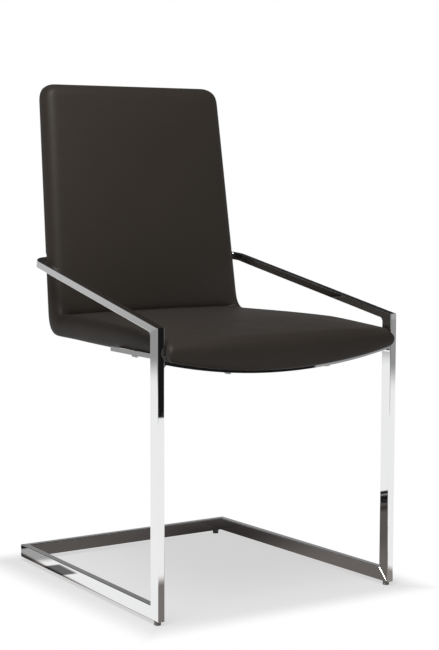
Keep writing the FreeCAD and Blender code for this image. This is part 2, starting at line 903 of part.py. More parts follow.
def main():
    os.makedirs("parts", exist_ok=True)
    pieces = frame_pieces()
    hidden = hidden_pieces()
    pieces.update(hidden)
    pieces.update(upholstery(hidden))
    for name, shape in pieces.items():
        solids = solids_of(shape)
        whole = Part.makeCompound(solids) if len(solids) > 1 else solids[0]
        whole.exportStep("parts/" + name + ".step")
        print(name, len(whole.Solids), "solids,", round(whole.Volume), "mm3, valid", whole.isValid())


main()
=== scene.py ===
# %% [markdown]
# # A cantilever chair, dressed
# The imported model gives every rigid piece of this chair: a frame of polished tube,
# boards, straps and screws. This file loads it, lights it like a product photograph
# and puts real surfaces on it. The one soft thing, the leatherette shell of seat and
# back, is made here from scratch, because cloth under tension is not a CAD shape.

# %% Load the frame
import bpy
import math
from mathutils import Matrix, Vector
from mathutils.bvhtree import BVHTree


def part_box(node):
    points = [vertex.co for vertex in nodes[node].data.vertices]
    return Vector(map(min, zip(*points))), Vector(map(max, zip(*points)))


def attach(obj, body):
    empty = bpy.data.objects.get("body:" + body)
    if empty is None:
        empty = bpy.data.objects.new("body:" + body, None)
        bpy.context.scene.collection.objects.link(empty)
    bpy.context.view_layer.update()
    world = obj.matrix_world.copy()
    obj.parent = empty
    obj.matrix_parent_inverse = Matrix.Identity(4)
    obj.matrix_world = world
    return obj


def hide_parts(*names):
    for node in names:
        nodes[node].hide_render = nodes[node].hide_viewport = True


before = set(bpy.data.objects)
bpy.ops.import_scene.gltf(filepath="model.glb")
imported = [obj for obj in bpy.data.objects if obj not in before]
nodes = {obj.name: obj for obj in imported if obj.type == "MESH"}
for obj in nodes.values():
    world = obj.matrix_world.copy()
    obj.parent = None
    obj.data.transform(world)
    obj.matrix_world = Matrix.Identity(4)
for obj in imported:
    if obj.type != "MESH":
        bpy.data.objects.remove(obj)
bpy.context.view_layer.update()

# %% [markdown]
# ## The camera
# The photograph looks from the sitter's front right, from a little above the arms, through
# a long lens. The tubes' straight edges gave the position, the tilt and the lens, so the
# camera is placed by numbers instead of being aimed at something. The small roll is
# real: the photographer's camera was a sixth of a degree off level.

# %% Camera
camera_place = Vector((-1.68946, -2.62412, 0.79370))
camera_azimuth = math.radians(-33.442)
camera_elevation = math.radians(5.640)
camera_roll = math.radians(0.163)
focal_px = 1639.84
picture_height_px = 650

behind = Vector((math.sin(camera_azimuth) * math.cos(camera_elevation),
                 -math.cos(camera_azimuth) * math.cos(camera_elevation),
                 math.sin(camera_elevation)))
level_right = Vector((0, 0, 1)).cross(behind).normalized()
level_up = behind.cross(level_right)
camera_right = math.cos(camera_roll) * level_right + math.sin(camera_roll) * level_up
camera_up = math.cos(camera_roll) * level_up - math.sin(camera_roll) * level_right

camera_data = bpy.data.cameras.new("photo_camera")
camera_data.sensor_width = 36
camera_data.lens = focal_px * camera_data.sensor_width / picture_height_px
camera = bpy.data.objects.new("photo_camera", camera_data)
camera.matrix_world = Matrix((camera_right, camera_up, behind)).transposed().to_4x4()
camera.location = camera_place
bpy.context.collection.objects.link(camera)
bpy.context.scene.camera = camera
bpy.context.scene.view_settings.view_transform = "Standard"
print("lens", round(camera_data.lens, 2), "mm")

# %% [markdown]
# ## Small helpers for materials
# Every finish below is a Principled shader with a few procedural nodes in front of it.
# Code can build a node tree click by click, as in the editor, but then a recipe drowns in
# links. `fill` sets a node's sockets by name, with a plain value or with the output of
# another node, and `add` makes the node first. Constants stay on the shader's own sockets.

# %% Node helpers
def feed(tree, socket, value):
    """Sets a socket to a plain value, or links another node's output to it."""
    if isinstance(value, bpy.types.NodeSocket):
        tree.links.new(value, socket)
    else:
        socket.default_value = value


def fill(tree, node, **settings):
    """Each setting goes to the socket of that name, or else to the property."""
    for name, value in settings.items():
        label = name.replace("_", " ")
        if label in node.inputs:
            feed(tree, node.inputs[label], value)
        else:
            setattr(node, name, value)
    return node


def add(tree, kind, **settings):
    return fill(tree, tree.nodes.new(kind), **settings)


print("fill and add ready")

# %% Nodes used again and again
def maths(tree, operation, *values):
    """One sum; each value is a number or an output of another node."""
    node = add(tree, "ShaderNodeMath", operation=operation)
    for socket, value in zip(node.inputs, values):
        feed(tree, socket, value)
    return node.outputs["Value"]


def mixed(tree, kind, factor, first, second):
    """Numbers (FLOAT) or colours (RGBA): the first at factor 0, the second at 1."""
    mix = add(tree, "ShaderNodeMix", data_type=kind, Factor=factor, A=first, B=second)
    return mix.outputs["Result"]


def object_place(tree, stretch=(1, 1, 1)):
    """Object coordinates, so that a pattern has its real size on every piece."""
    coords = tree.nodes.new("ShaderNodeTexCoord")
    mapping = add(tree, "ShaderNodeMapping", Vector=coords.outputs["Object"], Scale=stretch)
    return mapping.outputs["Vector"]


print("sums, mixes and places ready")

# %% A new finish
def new_finish(name, **constants):
    """A material with a Principled shader, its plain values set on the shader."""
    finish = bpy.data.materials.new(name)
    finish.use_nodes = True
    tree = finish.node_tree
    tree.nodes.clear()
    shader = add(tree, "ShaderNodeBsdfPrincipled", **constants)
    add(tree, "ShaderNodeOutputMaterial", Surface=shader.outputs["BSDF"])
    return finish, tree, shader


def bumped(tree, shader, height, depth):
    """Turns a height into small bumps, depth metres from valley to top."""
    bump = add(tree, "ShaderNodeBump", Strength=1.0, Distance=depth, Height=height)
    fill(tree, shader, Normal=bump.outputs["Normal"])


print("finish helpers ready")

# %% [markdown]
# ## One effect for every finish
# No real surface is even. Colour, polish and height all wander a little, each at its own
# size, on leatherette as on plating or plywood. Copying the same three nodes into every
# material would work, but a node group is built once and placed with its own values. It
# puts out one noise in three ways: between two colours, as a number in a range, and bare.

# %% The group
def wander_group():
    tree = bpy.data.node_groups.new("surface_wander", "ShaderNodeTree")
    sockets = tree.interface
    sockets.new_socket("Place", in_out="INPUT", socket_type="NodeSocketVector")
    for name in ("Scale", "Detail", "Roughness", "Lowest", "Highest"):
        sockets.new_socket(name, in_out="INPUT", socket_type="NodeSocketFloat")
    for name in ("First Colour", "Second Colour"):
        sockets.new_socket(name, in_out="INPUT", socket_type="NodeSocketColor")
    sockets.new_socket("Colour", in_out="OUTPUT", socket_type="NodeSocketColor")
    for name in ("Value", "Height"):
        sockets.new_socket(name, in_out="OUTPUT", socket_type="NodeSocketFloat")
    given = tree.nodes.new("NodeGroupInput").outputs
    pattern = add(tree, "ShaderNodeTexNoise", Vector=given["Place"], Scale=given["Scale"],
                  Detail=given["Detail"], Roughness=given["Roughness"]).outputs["Fac"]
    spread = add(tree, "ShaderNodeMapRange", Value=pattern, To_Min=given["Lowest"],
                 To_Max=given["Highest"])
    colour = mixed(tree, "RGBA", pattern, given["First Colour"], given["Second Colour"])
    add(tree, "NodeGroupOutput", Colour=colour, Value=spread.outputs["Result"], Height=pattern)
    return tree


surface_wander = wander_group()


def wander(tree, scale, detail=3.0, roughness=0.55, stretch=(1, 1, 1), **values):
    """Places the group in a material and returns its outputs."""
    group = tree.nodes.new("ShaderNodeGroup")
    group.node_tree = surface_wander
    fill(tree, group, Place=object_place(tree, stretch), Scale=scale, Detail=detail,
         Roughness=roughness, **values)
    return group.outputs


print("surface_wander:", len(surface_wander.nodes), "nodes")

# %% [markdown]
# ## The upholstered shell
# Seat and back are one piece of padding under one tight leatherette cover, bent into an
# L. The cover is drawn in along a single crease, its sides run on round the corner, and
# its underside lies on the bow of the front rail. The shell is made as a grid over the
# L, once for the sitter's side and once for the other, joined along a rounded rim.
# A grid was chosen over a remeshed block because its rows can follow the crease.

# %% Sizes of the seat
# all in metres; depths count back from the front of the legs
leg_front_y = -0.270
seat_overhang = 0.017
seat_front_width = 0.489
seat_crown = 0.0025
seat_swell = 0.0035
seat_side_rise = 0.0025
seat_edge_rise = 0.006
seat_roll_length, seat_roll_drop, seat_roll_power = 0.172, 0.009, 1.15
crease_depth, crease_height, crease_width = 0.450, 0.496, 0.430
nose_share, nose_length = 0.42, 0.045
lip_drop = 0.0085
lip_wall = -0.0008
lip_turn = seat_overhang - 0.0009
print("seat:", seat_front_width, "m wide in front,", crease_width, "m at the crease")

# %% Sizes of the back
back_height = 0.947
back_top_width = 0.398
back_slope = math.tan(math.radians(8))
back_thick = 0.036
back_crown = 0.005
back_fullness = 0.0038
fuller_between = (0.36, 0.47)


def smooth(value, low, high):
    """A soft step from 0 to 1 while the value goes from low to high."""
    t = min(1.0, max(0.0, (value - low) / (high - low)))
    return t * t * (3 - 2 * t)


def back_plane(z):
    """Depth of the back's front plane at a height."""
    return crease_depth + back_slope * (z - crease_height)


seat_taper = (seat_front_width - crease_width) / 2 / (crease_depth + seat_overhang)
top_depth = back_plane(back_height) + back_thick / 2
top_half_without = crease_width / 2 - seat_taper * (top_depth - crease_depth)
back_taper = (top_half_without - back_top_width / 2) / (back_height - crease_height)


def half_width(y, z):
    """Half the width of the shell: it narrows to the rear, and again up the back."""
    along_seat = seat_front_width / 2 - seat_taper * (y + seat_overhang)
    fuller = back_fullness * smooth(y, *fuller_between)
    return along_seat - back_taper * (z - crease_height) + fuller


print("half width at the crease", round(half_width(crease_depth, crease_height), 4))

# %% The bow that the seat rests on
rail_end_height = 0.467
rail_bow = 0.0285
rail_half_width = 0.246
rail_gap = 0.0004
lining_gap = 0.00145
side_sag = 0.0025
bracket_side, bracket_end = (0.211, 0.223), (0.190, 0.220)
bow_radius = (rail_half_width ** 2 + rail_bow ** 2) / (2 * rail_bow)
bow_centre = rail_end_height - rail_bow + bow_radius


def bow_height(x):
    """Height of the bowed rail under the seat."""
    return bow_centre - math.sqrt(bow_radius ** 2 - x ** 2)


def sagged(x, y):
    """How far the padding hangs below the bow where no bracket carries it."""
    return side_sag * smooth(abs(x), *bracket_side) * smooth(y, *bracket_end)


print("radius of the bow:", round(bow_radius, 3), "m")

# %% [markdown]
# ### Three lines through the L
# At any place across the chair the L has three lines: the sitter's side, the far side,
# and the rim line that both sides roll into at the edges. One number, `path`, runs along
# all three, so a row of the grid always knows its partners. The corner of the L is where
# they differ: the sitter's side has the crease, the far side a round turn.

# %% The lines of the L
corner_seat_run, corner_back_run = 0.030, 0.032
corner_start = crease_depth - corner_seat_run
corner_end = crease_height + corner_back_run
corner_length = 0.060
seat_length = corner_start + seat_overhang
back_length = back_height - corner_end
path_length = seat_length + corner_length + back_length
rear_turn, rim_turn, front_turn = 0.036, 0.047, 0.034
rim_share = 0.72
fold_depth = 0.0045
fold_fade = (0.84, 0.99)


print("path along the L:", round(path_length, 4), "m")

# %% The sitter's side of seat and back
def across_share(x):
    """0 on the middle line, 1 at the sides."""
    return min(1.0, abs(x) / (crease_width / 2))


def seat_top(x, y):
    """Height of the seat: crowned across, swelling along, rolling down in front."""
    height = crease_height + seat_side_rise + seat_crown * (1 - across_share(x) ** 2)
    from_front = y + seat_overhang
    roll = max(0.0, 1 - from_front / seat_roll_length)
    swell = seat_swell * math.sin(math.pi * min(1.0, from_front / seat_length))
    return height - seat_roll_drop * roll ** seat_roll_power + swell


def back_face(x, z):
    """Depth of the sitter's side of the back at a height."""
    share = min(1.0, max(0.0, (z - crease_height) / (back_height - crease_height)))
    bulge = back_crown * (1 - across_share(x) ** 2) * (1 - (2 * share - 1) ** 4)
    return back_plane(z) - bulge


print("seat top on the middle line:", round(seat_top(0, crease_depth / 2), 4), "m")

# %% A path round a corner
def turned(first, second, corner, radius, t):
    """A point on a path that runs straight, round a corner, and straight again."""
    into = (corner - first).normalized()
    out = (second - corner).normalized()
    bend = into.angle(out)
    before, after = (corner - first).length, (second - corner).length
    reach = min(radius * math.tan(bend / 2), 0.98 * min(before, after))
    radius = reach / math.tan(bend / 2)
    runs = [before - reach, radius * bend, after - reach]
    gone = t * sum(runs)
    if gone <= runs[0]:
        return first + into * gone
    if gone >= runs[0] + runs[1]:
        return second - out * (sum(runs) - gone)
    angle = (gone - runs[0]) / radius
    side = (out - into * into.dot(out)).normalized()
    centre = corner - into * reach + side * radius
    return centre + into * radius * math.sin(angle) - side * radius * math.cos(angle)


halfway = turned(Vector((0, 0)), Vector((1, 1)), Vector((1, 0)), 0.5, 0.5)
print("halfway round a test corner:", [round(c, 3) for c in halfway])

# %% The lines of the seat and of the back
def seat_lines(x, path):
    """The three lines on the seat; in front the rim climbs to the nose of the padding."""
    y = path - seat_overhang
    top = seat_top(x, y)
    bow = bow_height(x)
    lip = bow - lip_drop
    nose = lip + nose_share * (top - lip)
    share = 1 - smooth(path, 0.0, nose_length)
    sag = sagged(x, y)
    rim = (bow + seat_edge_rise - sag) * (1 - share) + nose * share
    if path < lip_turn:
        far = Vector((min(y, lip_wall), lip))
    else:
        far = Vector((max(y, lip_wall), bow + rail_gap - sag))
    return Vector((y, top)), Vector((y, rim)), far


def back_lines(x, path):
    """The three lines on the back."""
    z = corner_end + (path - seat_length - corner_length)
    rear = back_plane(z) + back_thick
    rim = back_plane(z) + back_thick * rim_share
    return Vector((back_face(x, z), z)), Vector((rim, z)), Vector((rear, z))


print("rim at the front:", round(seat_lines(0, 0)[1].y, 4), "m high")

# %% The corner of the L
def creased(x, t, top, front):
    """The sitter's side round the inner corner: a fold that fades out at the sides."""
    fold = Vector((back_face(x, crease_height), seat_top(x, crease_depth)))
    round_corner = turned(top, front, fold, front_turn, t)
    share = 1 - abs(2 * t - 1)
    dip = fold_depth * share ** 4
    if t < 0.5:
        y = top.x + (fold.x - top.x) * share
        sharp = Vector((y, seat_top(x, y) - dip))
    else:
        z = front.y + (fold.y - front.y) * share
        sharp = Vector((back_face(x, z) + dip, z))
    return round_corner.lerp(sharp, 1 - smooth(across_share(x), *fold_fade))


def lines_at(x, path):
    """Sitter's side, rim and far side as (y, z) at a place across and along the L."""
    if path <= seat_length:
        return seat_lines(x, path)
    if path >= seat_length + corner_length:
        return back_lines(x, path)
    t = (path - seat_length) / corner_length
    top, rim, under = seat_lines(x, seat_length)
    front, middle, rear = back_lines(x, seat_length + corner_length)
    rear_corner = Vector((back_plane(under.y) + back_thick, under.y))
    rim_corner = Vector((back_plane(rim.y) + back_thick * rim_share, rim.y))
    far = turned(under, rear, rear_corner, rear_turn, t)
    return creased(x, t, top, front), turned(rim, middle, rim_corner, rim_turn, t), far


crease_lines = lines_at(0, seat_length + corner_length / 2)
print("padding at the crease:", round((crease_lines[0] - crease_lines[2]).length, 4), "m")

# %% [markdown]
# ### The grid and its rounded rim
# The grid is first laid out as a flat rectangle with rounded corners: across the chair,
# and along the path. How full the padding is depends only on the distance to that
# outline: it follows a rounded edge, a little blunter than a quarter circle, so the rim
# comes out full all the way. Rows and columns crowd together near the rim and at the
# crease, where the shape turns quickly.

# %% Rows and columns
side_sitter, side_far, side_front = 0.022, 0.010, 0.012
front_sitter, front_far = 0.028, 0.010
top_sitter, top_far = 0.020, 0.010
front_corner, top_corner = 0.006, 0.031
blunt = 2.3
seam_inset, seam_draw, seam_width, seam_fade = 0.0094, 0.0012, 0.003, 0.03
run_rows, columns_between = 46, 50
corner_rows = (0.12, 0.24, 0.34, 0.41, 0.455, 0.48, 0.50, 0.52, 0.545, 0.59, 0.66, 0.76, 0.88, 1.0)
side_steps = [side_sitter * (1 - math.cos(math.radians(a))) for a in (0, 13, 26, 40, 55, 72, 90)]
front_steps = [0.0, 0.0008, 0.0025, 0.0050, 0.0080, 0.0115, 0.0145, 0.0158, 0.0168, 0.0195,
               0.0235, 0.028]


def crowded(total, count):
    """Distances from 0 to total, close together at both ends."""
    inner = [side_sitter + (total - 2 * side_sitter) * i / count for i in range(1, count)]
    return side_steps + inner + [total - s for s in reversed(side_steps)]


def path_rows():
    """Where the rows of the grid lie along the L."""
    rows = list(front_steps)
    seat_run = seat_length - front_sitter
    rows += [front_sitter + seat_run * i / run_rows for i in range(1, run_rows + 1)]
    rows += [seat_length + corner_length * t for t in corner_rows]
    start = seat_length + corner_length
    back_run = back_length - side_sitter
    rows += [start + back_run * i / run_rows for i in range(1, run_rows)]
    rows += [path_length - s for s in reversed(side_steps)]
    return rows


print("rows:", len(path_rows()))

# %% The rounded plan
def half_limit(path):
    """Half the width of the plan at a station of the path."""
    rim = lines_at(0.2, path)[1]
    return half_width(rim.x, rim.y)


def rounded_plan(across, path):
    """Moves a place in the square corners of the plan into its rounded corners."""
    side = half_limit(path) - abs(across)
    end = min(path, path_length - path)
    corner = front_corner if path < path_length / 2 else top_corner
    if side >= corner or end >= corner:
        return across, path
    a = 1 - side / corner
    b = 1 - end / corner
    round_a = a * math.sqrt(1 - b * b / 2)
    round_b = b * math.sqrt(1 - a * a / 2)
    x = math.copysign(half_limit(path) - corner * (1 - round_a), across)
    along = corner * (1 - round_b)
    return x, along if path < path_length / 2 else path_length - along


print("half width in front:", round(half_limit(0.0), 4), "m")

# %% How full the padding is
def rise(from_edge, radius):
    """The rounded edge: 0 at the rim, 1 one radius away from it."""
    if from_edge >= radius:
        return 1.0
    return (1 - (1 - max(0.0, from_edge) / radius) ** blunt) ** (1 / blunt)


def side_radius(path, sitters_side):
    """The rim of the seat is rounder at the crease than in front."""
    if not sitters_side:
        return side_far
    return side_front + (side_sitter - side_front) * smooth(path, 0.12, 0.46)


def fullness(across, path, sitters_side):
    """0 on the rim line, 1 where the padding is at its full height."""
    side = half_limit(path) - abs(across)
    front = rise(path, front_sitter if sitters_side else front_far)
    top = rise(path_length - path, top_sitter if sitters_side else top_far)
    return rise(side, side_radius(path, sitters_side)) * front * top


def seam_depth(across, path):
    """The rear panel is sewn in: its seam draws the far side in a little."""
    from_edge = min(half_limit(path) - abs(across), path_length - path)
    start = seat_length + corner_length
    on_back = smooth(path, start, start + seam_fade)
    return seam_draw * on_back * max(0.0, 1 - abs(from_edge - seam_inset) / seam_width)


print("height 5 mm from a 20 mm rim:", round(rise(0.005, 0.020), 3), "of the full height")

# %% Points and faces
def shell_point(share, path, sitters_side):
    """A point of the shell; share is -1 to 1 across the chair."""
    across = share * half_limit(path)
    x, along = rounded_plan(across, path)
    sitter, rim, far = lines_at(x, along)
    goal = sitter if sitters_side else far
    place = rim.lerp(goal, fullness(across, path, sitters_side))
    if not sitters_side:
        place.x -= seam_depth(across, path)
    return Vector((x, place.x + leg_front_y, place.y))


def shell_grid():
    """Points, faces and flat places of both sides; the rim points are shared."""
    rows = path_rows()
    widest = half_limit(0.0)
    columns = [c / widest - 1 for c in crowded(2 * widest, columns_between)]
    points, faces, uvs = [], [], []
    index = {}
    for sitters_side in (True, False):
        for i, path in enumerate(rows):
            for j, share in enumerate(columns):
                rim = i in (0, len(rows) - 1) or j in (0, len(columns) - 1)
                key = (i, j, rim or sitters_side)
                if key in index:
                    continue
                index[key] = len(points)
                points.append(shell_point(share, path, sitters_side))
                uvs.append((share * widest, path))
    for sitters_side in (True, False):
        for i in range(len(rows) - 1):
            for j in range(len(columns) - 1):
                ring = [(i, j), (i, j + 1), (i + 1, j + 1), (i + 1, j)]
                corners = []
                for a, b in ring:
                    rim = a in (0, len(rows) - 1) or b in (0, len(columns) - 1)
                    corners.append(index[(a, b, rim or sitters_side)])
                faces.append(corners if sitters_side else corners[::-1])
    return points, faces, uvs


shell_points, shell_faces, shell_uvs = shell_grid()
print("shell grid:", len(shell_points), "points,", len(shell_faces), "faces")

# %% The shell as an object
def mesh_object(name, points, faces):
    mesh = bpy.data.meshes.new(name)
    mesh.from_pydata([tuple(p) for p in points], [], faces)
    mesh.validate()
    made = bpy.data.objects.new(name, mesh)
    bpy.context.collection.objects.link(made)
    for face in mesh.polygons:
        face.use_smooth = True
    return made


shell = mesh_object("upholstered_shell", shell_points, shell_faces)
print("shell size:", [round(d, 4) for d in shell.dimensions])

# %% [markdown]
# ### Let the cloth pull tight
# The cover is stretched over foam, so it swells a little between the places that hold
# it: the crease and the underside that rests on the frame. Cloth with a small inner
# pressure finds that shape by itself, where a formula would have to guess it. The pin
# group holds those places. Of each move only the outward part is kept, and all of it is
# scaled down until the largest move is the limit, because this padding is firm. The run
# is short and has nothing random in it.

# %% What holds the cloth
swell_limit = 0.0035
crease_path = seat_length + corner_length * 0.5


def held_share(place, path):
    """1 where the cover is held, 0 where it is free."""
    near_crease = 1 - smooth(abs(path - crease_path), 0.004, 0.030)
    y = place.y - leg_front_y
    on_frame = place.z < bow_height(place.x) + 0.004 and y < crease_depth + 0.02
    return 1.0 if on_frame else 0.9 * near_crease


print("held at the crease by", held_share(Vector((0, 0, 1)), crease_path))

# %% The cloth run
def swell(piece):
    """Runs the cloth and keeps the outward part of its moves."""
    before = [v.co.copy() for v in piece.data.vertices]
    outward = [v.normal.copy() for v in piece.data.vertices]
    pins = piece.vertex_groups.new(name="held")
    for i, place in enumerate(before):
        pins.add([i], held_share(place, shell_uvs[i][1]), "REPLACE")
    cloth = piece.modifiers.new("cloth", "CLOTH")
    settings = cloth.settings
    settings.quality = 6
    settings.mass = 0.4
    settings.tension_stiffness = 25
    settings.compression_stiffness = 25
    settings.shear_stiffness = 12
    settings.bending_stiffness = 0.6
    settings.vertex_group_mass = "held"
    settings.use_pressure = True
    settings.uniform_pressure_force = 4.0
    settings.effector_weights.gravity = 0.0
    cloth.collision_settings.use_collision = False
    for step in range(1, 21):
        bpy.context.scene.frame_set(step)
    graph = bpy.context.evaluated_depsgraph_get()
    result = piece.evaluated_get(graph).data
    after = [v.co.copy() for v in result.vertices]
    piece.modifiers.remove(cloth)
    piece.vertex_groups.remove(pins)
    bpy.context.scene.frame_set(1)
    moves = [(new - old).dot(normal) for old, new, normal in zip(before, after, outward)]
    furthest = max(moves)
    share = min(1.0, swell_limit / furthest)
    for vertex, old, normal, move in zip(piece.data.vertices, before, outward, moves):
        vertex.co = old + normal * share * max(0.0, move)
    return furthest


print("furthest swell before the limit:", round(swell(shell) * 1000, 1), "mm")

# %% [markdown]
# ### Keep clear of the frame
# After the swell the shell is divided once more, and then every point is checked against
# the steel: the seat may not sink below the top of the bowed rail, and the rail behind
# the back lies in a groove that it presses into the padding. Under the seat the cloth
# lining takes up a millimetre, so the cover steps up above it. A Boolean would cut these
# places sharply; moving the points keeps them soft.

# %% Divide and clear
def divided(piece):
    """The piece with one level of subdivision turned into plain mesh."""
    finer = piece.modifiers.new("finer", "SUBSURF")
    finer.levels = 1
    finer.render_levels = 1
    graph = bpy.context.evaluated_depsgraph_get()
    mesh = bpy.data.meshes.new_from_object(piece.evaluated_get(graph))
    piece.modifiers.remove(finer)
    piece.data = mesh
    return mesh


arm_tube = 0.014
groove_gap = 0.0008
rail_low, rail_high = 0.5915, 0.6114
groove_near, groove_far = 0.001, 0.006
lining_step = 0.004
lining_low, lining_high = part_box("underside_lining")
rail_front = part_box("arm_loop")[1][1] - arm_tube - groove_gap


def clear_of_frame(place):
    """Lifts a point off rail and lining, and presses it clear of the rear rail."""
    y = place.y - leg_front_y
    floor = bow_height(place.x) + rail_gap - sagged(place.x, y)
    if lip_wall + 0.0002 < y < crease_depth:
        side = lining_high[0] - abs(place.x)
        ends = min(place.y - lining_low[1], lining_high[1] - place.y)
        step = smooth(min(side, ends) + lining_step, 0.0, lining_step)
        place.z = max(place.z, floor + step * (lining_gap - rail_gap))
    dip = smooth(place.z, rail_low - groove_far, rail_low - groove_near)
    dip *= 1 - smooth(place.z, rail_high + groove_near, rail_high + groove_far)
    if dip > 0 and place.y > rail_front:
        place.y += dip * (rail_front - place.y)


divided(shell)
for vertex in shell.data.vertices:
    clear_of_frame(vertex.co)
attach(shell, "root")
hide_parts("seat_cover", "back_cover", "seat_foam", "back_foam")
print("shell:", len(shell.data.polygons), "faces")

# %% [markdown]
# ## Leatherette
# Coated cloth in a dark brown grey. Close up it has a fine pebbled grain; from a step
# away only the soft sheen tells of it. The colour wanders a little over the panel, and so
# does the polish that hands and backs leave. The grain is too fine for real geometry, so
# cells and pores together make a height for the bump.

# %% Leatherette
leather, tree, shader = new_finish("dark_leatherette", Specular_IOR_Level=0.20,
                                   Sheen_Weight=0.04, Sheen_Roughness=0.5)
tint = wander(tree, 7.0, First_Colour=(0.02084, 0.01649, 0.01317, 1),
              Second_Colour=(0.02476, 0.01971, 0.01583, 1))
handling = wander(tree, 26.0, 4.0, Lowest=0.46, Highest=0.60)
fill(tree, shader, Base_Color=tint["Colour"], Roughness=handling["Value"])
pebbles = add(tree, "ShaderNodeTexVoronoi", Vector=object_place(tree), Scale=620.0,
              Randomness=0.9)
pores = wander(tree, 1400.0, 2.0)
grain_height = maths(tree, "ADD", pebbles.outputs["Distance"], pores["Height"])
bumped(tree, shader, grain_height, 0.00007)
shell.data.materials.clear()
shell.data.materials.append(leather)
print("leatherette on the shell")

# %% [markdown]
# ## Polished plating
# Chrome has almost no colour of its own: what it shows is the room. The shader is plain
# metal with a very low roughness, and two weak textures keep it from looking drawn: wide
# smears left by a cloth, and hairlines that only wake up in a highlight.

# %% Chrome
chrome, tree, shader = new_finish("polished_chrome", Metallic=1.0)
tone = wander(tree, 6.0, 2.0, First_Colour=(0.80, 0.805, 0.81, 1),
              Second_Colour=(0.84, 0.84, 0.84, 1))
smears = wander(tree, 18.0, 4.0, 0.6, Lowest=0.012, Highest=0.034)
fill(tree, shader, Base_Color=tone["Colour"], Roughness=smears["Value"])
hairlines = wander(tree, 3.0, 3.0, stretch=(300, 300, 14))
bumped(tree, shader, hairlines["Height"], 0.0000015)
chrome_nodes = ("right_runner", "left_runner", "rear_floor_bar", "right_front_leg",
                "left_front_leg", "arm_loop", "front_seat_rail", "right_seat_bracket",
                "left_seat_bracket")


def dress(names, finish):
    for name in names:
        nodes[name].data.materials.clear()
        nodes[name].data.materials.append(finish)


dress(chrome_nodes, chrome)
print("chrome on", len(chrome_nodes), "pieces")

# %% [markdown]
# ## Stitches and staples
# Two rows of small things repeat along a line: the stitches of the rear panel and the
# staples of the lining. One Geometry Nodes tree makes both. It takes a line, walks along
# it at a named spacing and sets a small rounded piece of a named length and thickness at
# every step. The result is baked to plain mesh, so nothing is left to compute later.

# %% The tree for a row of pieces
def row_tree():
    tree = bpy.data.node_groups.new("row_of_pieces", "GeometryNodeTree")
    sockets = tree.interface
    sockets.new_socket("Line", in_out="INPUT", socket_type="NodeSocketGeometry")
    for name in ("Spacing", "Length", "Thickness"):
        sockets.new_socket(name, in_out="INPUT", socket_type="NodeSocketFloat")
    sockets.new_socket("Finish", in_out="INPUT", socket_type="NodeSocketMaterial")
    sockets.new_socket("Pieces", in_out="OUTPUT", socket_type="NodeSocketGeometry")
    given = tree.nodes.new("NodeGroupInput")
    walk = add(tree, "GeometryNodeCurveToPoints", mode="LENGTH")
    grain = tree.nodes.new("GeometryNodeMeshUVSphere")
    grain.inputs["Segments"].default_value = 8
    grain.inputs["Rings"].default_value = 6
    grain.inputs["Radius"].default_value = 0.5
    size = tree.nodes.new("ShaderNodeCombineXYZ")
    spread = tree.nodes.new("GeometryNodeInstanceOnPoints")
    real = tree.nodes.new("GeometryNodeRealizeInstances")
    coat = tree.nodes.new("GeometryNodeSetMaterial")
    made = tree.nodes.new("NodeGroupOutput")
    links = ((given, "Line", walk, "Curve"), (given, "Spacing", walk, "Length"),
             (given, "Thickness", size, "X"), (given, "Thickness", size, "Y"),
             (given, "Length", size, "Z"), (walk, "Points", spread, "Points"),
             (walk, "Rotation", spread, "Rotation"), (grain, "Mesh", spread, "Instance"),
             (size, "Vector", spread, "Scale"), (spread, "Instances", real, "Geometry"),
             (real, "Geometry", coat, "Geometry"), (given, "Finish", coat, "Material"),
             (coat, "Geometry", made, "Pieces"))
    for source, out, target, into in links:
        tree.links.new(source.outputs[out], target.inputs[into])
    return tree


rows = row_tree()
print("row tree:", len(rows.nodes), "nodes")

# %% Walking the tree along lines
def row_of_pieces(name, lines, finish, **sizes):
    """Walks the tree along some lines and keeps the result as one plain mesh."""
    curve = bpy.data.curves.new(name + "_lines", "CURVE")
    curve.dimensions = "3D"
    for line in lines:
        spline = curve.splines.new("POLY")
        spline.points.add(len(line) - 1)
        for dot, place in zip(spline.points, line):
            dot.co = (*place, 1.0)
    walker = bpy.data.objects.new(name + "_lines", curve)
    bpy.context.collection.objects.link(walker)
    modifier = walker.modifiers.new("row", "NODES")
    modifier.node_group = rows
    values = dict(sizes, Finish=finish)
    for item in rows.interface.items_tree:
        if item.name in values:
            modifier[item.identifier] = values[item.name]
    graph = bpy.context.evaluated_depsgraph_get()
    mesh = bpy.data.meshes.new_from_object(walker.evaluated_get(graph))
    bpy.data.objects.remove(walker)
    for face in mesh.polygons:
        face.use_smooth = True
    row = bpy.data.objects.new(name, mesh)
    bpy.context.collection.objects.link(row)
    return row


print("tree inputs:", [item.name for item in rows.interface.items_tree])

# %% Stitches round the rear panel
thread, tree, shader = new_finish("dark_thread", Roughness=0.6)
twist = add(tree, "ShaderNodeTexWave", Vector=object_place(tree), Scale=900.0,
            Distortion=1.5).outputs["Fac"]
fill(tree, shader, Base_Color=mixed(tree, "RGBA", twist, (0.012, 0.010, 0.009, 1),
                                    (0.040, 0.034, 0.028, 1)))
bumped(tree, shader, twist, 0.0001)
surface = BVHTree.FromPolygons([v.co for v in shell.data.vertices],
                               [tuple(f.vertices) for f in shell.data.polygons])


thread_lift = 0.0001


def on_shell(place, lift):
    """The nearest spot of the finished cover, lifted off it a little."""
    spot, normal, _, _ = surface.find_nearest(place)
    return spot + normal * lift


def seam_line(first, last, side, count):
    """Places along one side of the seam, between two stations of the path."""
    paths = [first + (last - first) * i / count for i in range(count + 1)]
    shares = [side * (1 - seam_inset / half_limit(path)) for path in paths]
    return [on_shell(shell_point(share, path, False), thread_lift)
            for share, path in zip(shares, paths)]


